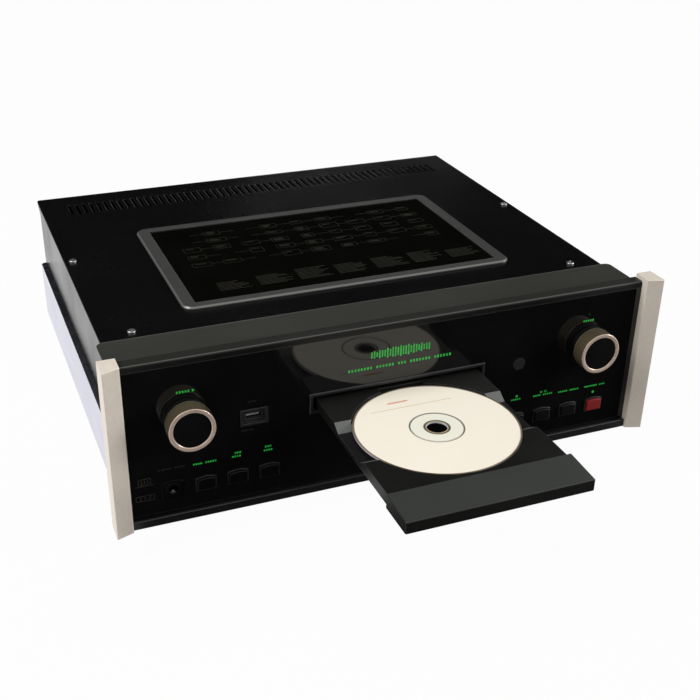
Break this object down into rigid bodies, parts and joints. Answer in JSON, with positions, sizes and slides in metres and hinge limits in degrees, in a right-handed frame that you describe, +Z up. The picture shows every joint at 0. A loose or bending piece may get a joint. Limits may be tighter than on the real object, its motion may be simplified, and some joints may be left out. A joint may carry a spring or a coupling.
{
  "type": "disc player",
  "caption": "Wide hi-fi disc player with a motor tray out and a disc on it, two turning knobs, a row of push buttons, a cover window and rear sockets.",
  "frame": {"origin": "middle of the outline with the tray out, on the surface that the feet stand on", "axes": "+X to the player's own right as seen from the front, +Y from the tray front to the back, +Z up"},
  "size_m": [0.4444, 0.5346, 0.1524],
  "materials": {
    "black_coat": "satin",
    "pale_steel": "satin",
    "cap_metal": "satin",
    "black_glass": "polished",
    "crown_metal": "satin",
    "gloss_black": "polished",
    "matte_black": "matt",
    "window_frame": "satin",
    "knob_bronze": "polished",
    "steel": "brushed",
    "dark_steel": "satin",
    "rubber": "matt",
    "board_green": "matt",
    "tray_grey": "satin",
    "disc_cream": "satin",
    "white_plastic": "matt",
    "red_light": "lit",
    "tinted": "polished",
    "copper": "satin",
    "gold": "polished"
  },
  "bodies": {
    "casing": {"bottom_chassis": "pale_steel", "button_bezels": "dark_steel", "button_switches": "matte_black", "clamp_bridge": "steel", "cover_screws": "dark_steel", "display_module": "black_glass", "end_cap_left": "cap_metal", "end_cap_right": "cap_metal", "feet": "matte_black", "foot_pads": "rubber", "front_board": "board_green", "front_bottom_rail": "dark_steel", "front_glass": "black_glass", "front_subframe": "crown_metal", "front_top_rail": "gloss_black", "headphone_jack": "matte_black", "input_encoder": "dark_steel", "ir_window": "tinted", "legend_light_panel": "matte_black", "level_encoder": "dark_steel", "loader_frame": "matte_black", "loading_motor": "steel", "main_board": "board_green", "power_inlet": "matte_black", "power_transformer": "copper", "rca_jacks": "gold", "rear_panel": "dark_steel", "standby_led": "red_light", "top_cover": "black_coat", "tray_slot_trim": "dark_steel", "usb_bezel": "dark_steel", "usb_socket": "steel", "window_bezel": "window_frame", "window_glass": "black_glass", "xlr_sockets": "dark_steel"},
    "tray": {"disc_tray": "tray_grey", "tray_front": "tray_grey"},
    "disc": {"disc": "disc_cream"},
    "loading_gear": {"loading_gear": "white_plastic"},
    "traverse": {"traverse_frame": "steel", "guide_rods": "steel", "spindle_motor": "steel"},
    "turntable": {"turntable": "matte_black"},
    "pickup": {"pickup_unit": "matte_black"},
    "clamper": {"disc_clamper": "matte_black"},
    "input_knob": {"input_knob": "matte_black", "input_knob_band": "knob_bronze", "input_knob_face": "gloss_black", "input_shaft": "steel"},
    "level_knob": {"level_knob": "matte_black", "level_knob_band": "knob_bronze", "level_knob_face": "gloss_black", "level_shaft": "steel"},
    "button_next": {"button_next": "matte_black"},
    "button_previous": {"button_previous": "matte_black"},
    "button_layer": {"button_layer": "matte_black"},
    "button_stop": {"button_stop": "matte_black"},
    "button_play": {"button_play": "matte_black"},
    "button_open": {"button_open": "matte_black"},
    "button_standby": {"button_standby": "matte_black"}
  },
  "joints": [
    {"name": "tray_slide", "type": "slide", "parent": "casing", "child": "tray", "axis": [0, 1, 0], "range_m": [0, 0.159]},
    {"name": "disc_spin", "type": "hinge", "parent": "tray", "child": "disc", "pos_m": [0, -0.17075, 0.0942], "axis": [0, 0, 1], "continuous": true},
    {"name": "loading_gear_spin", "type": "hinge", "parent": "casing", "child": "loading_gear", "pos_m": [-0.05005, -0.06125, 0.0877], "axis": [0, 0, 1], "continuous": true},
    {"name": "traverse_lift", "type": "slide", "parent": "casing", "child": "traverse", "axis": [0, 0, 1], "range_m": [0, 0.01]},
    {"name": "turntable_spin", "type": "hinge", "parent": "traverse", "child": "turntable", "pos_m": [0, -0.01175, 0.084], "axis": [0, 0, 1], "continuous": true},
    {"name": "pickup_slide", "type": "slide", "parent": "traverse", "child": "pickup", "axis": [0, 1, 0], "range_m": [0, 0.033]},
    {"name": "clamper_spin", "type": "hinge", "parent": "casing", "child": "clamper", "pos_m": [0, -0.01175, 0.0987], "axis": [0, 0, 1], "continuous": true},
    {"name": "input_turn", "type": "hinge", "parent": "casing", "child": "input_knob", "pos_m": [-0.165, -0.10625, 0.1011], "axis": [0, 1, 0], "continuous": true},
    {"name": "level_turn", "type": "hinge", "parent": "casing", "child": "level_knob", "pos_m": [0.165, -0.10625, 0.1011], "axis": [0, 1, 0], "continuous": true},
    {"name": "button_next_press", "type": "slide", "parent": "casing", "child": "button_next", "axis": [0, 1, 0], "range_m": [0, 0.001], "stiffness_N_per_m": 400},
    {"name": "button_previous_press", "type": "slide", "parent": "casing", "child": "button_previous", "axis": [0, 1, 0], "range_m": [0, 0.001], "stiffness_N_per_m": 400},
    {"name": "button_layer_press", "type": "slide", "parent": "casing", "child": "button_layer", "axis": [0, 1, 0], "range_m": [0, 0.001], "stiffness_N_per_m": 400},
    {"name": "button_stop_press", "type": "slide", "parent": "casing", "child": "button_stop", "axis": [0, 1, 0], "range_m": [0, 0.001], "stiffness_N_per_m": 400},
    {"name": "button_play_press", "type": "slide", "parent": "casing", "child": "button_play", "axis": [0, 1, 0], "range_m": [0, 0.001], "stiffness_N_per_m": 400},
    {"name": "button_open_press", "type": "slide", "parent": "casing", "child": "button_open", "axis": [0, 1, 0], "range_m": [0, 0.001], "stiffness_N_per_m": 400},
    {"name": "button_standby_press", "type": "slide", "parent": "casing", "child": "button_standby", "axis": [0, 1, 0], "range_m": [0, 0.001], "stiffness_N_per_m": 400}
  ],
  "couplings": [
    {"joint": "loading_gear_spin", "follows": "tray_slide", "rad_per_m": -83.333},
    {"joint": "clamper_spin", "follows": "turntable_spin", "ratio": 1}
  ]
}
